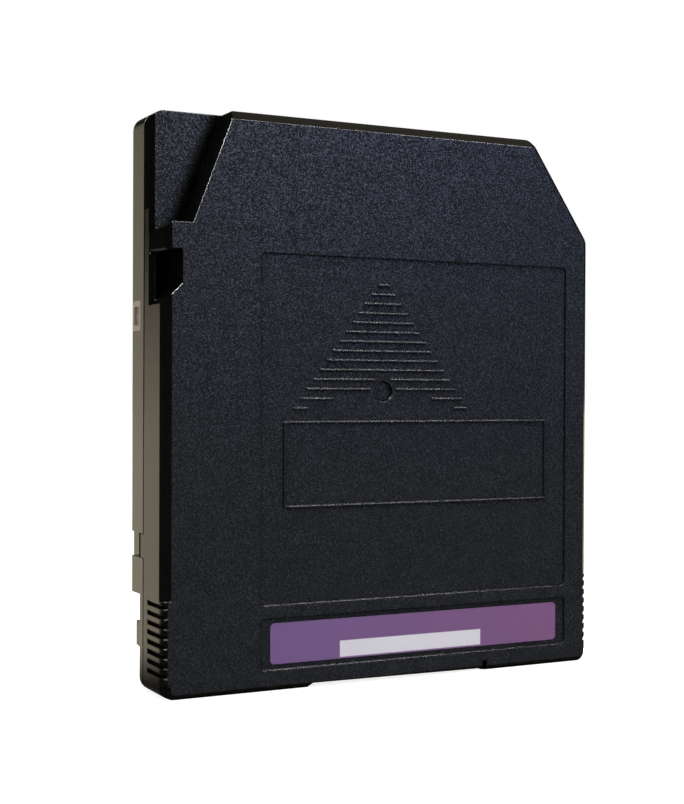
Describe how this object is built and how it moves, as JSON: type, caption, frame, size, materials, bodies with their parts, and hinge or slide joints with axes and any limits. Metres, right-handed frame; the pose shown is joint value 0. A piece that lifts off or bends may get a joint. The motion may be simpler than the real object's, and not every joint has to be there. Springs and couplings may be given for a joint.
{
  "type": "data tape cartridge",
  "caption": "Flat single-reel tape cartridge with a sliding tape door, a toothed reel hub with a spring-loaded brake, a write-protect switch and a cut-off leading corner.",
  "frame": {"origin": "centre of the case's box at the label edge, on which the cartridge stands", "axes": "+X across the width, towards the side with the cut-off leading corner; +Y from the label face to the drive face; +Z from the label edge to the leading edge"},
  "size_m": [0.109, 0.0244, 0.125],
  "materials": {
    "case_plastic": "fine-grained moulded plastic",
    "label_stock": "printed and coated",
    "door_plastic": "satin",
    "spring_steel": "bright wire",
    "hub_plastic": "satin",
    "flange_plastic": "clear to milky",
    "plate_steel": "stamped",
    "tape_film": "smooth wound film",
    "button_plastic": "satin",
    "pad_plastic": "satin",
    "pin_steel": "turned and polished",
    "clamp_plastic": "satin",
    "switch_plastic": "satin",
    "board_laminate": "coated laminate",
    "chip_plastic": "moulded",
    "screw_steel": "black finish"
  },
  "bodies": {
    "case": {"front_shell": "case_plastic", "back_shell": "case_plastic", "product_label": "label_stock", "door_spring": "spring_steel", "brake_spring": "spring_steel", "tape_leader": "tape_film", "leader_pin": "pin_steel", "leader_clamp": "clamp_plastic", "pin_spring": "spring_steel", "memory_board": "board_laminate", "memory_chip": "chip_plastic", "case_screws": "screw_steel"},
    "door": {"door": "door_plastic"},
    "reel": {"reel_hub": "hub_plastic", "reel_flange": "flange_plastic", "drive_plate": "plate_steel", "tape_pack": "tape_film"},
    "brake": {"brake_button": "button_plastic"},
    "pad": {"release_pad": "pad_plastic"},
    "switch": {"write_protect_switch": "switch_plastic"}
  },
  "joints": [
    {"name": "door_slide", "type": "slide", "parent": "case", "child": "door", "axis": [1, 0, 0], "range_m": [0, 0.0117], "stiffness_N_per_m": 30, "springref_m": -0.01, "deforming": ["door_spring"]},
    {"name": "reel_spin", "type": "hinge", "parent": "case", "child": "reel", "pos_m": [-0.0021, 0.00112, 0.06505], "axis": [0, 1, 0], "continuous": true},
    {"name": "brake_slide", "type": "slide", "parent": "case", "child": "brake", "axis": [0, -1, 0], "range_m": [0, 0.0018], "stiffness_N_per_m": 600, "springref_m": -0.005, "deforming": ["brake_spring"]},
    {"name": "pad_slide", "type": "slide", "parent": "reel", "child": "pad", "axis": [0, -1, 0], "range_m": [0, 0.0018]},
    {"name": "switch_slide", "type": "slide", "parent": "case", "child": "switch", "axis": [1, 0, 0], "range_m": [0, 0.0045]}
  ],
  "couplings": [
    {"joint": "pad_slide", "follows": "brake_slide", "ratio": 1}
  ]
}
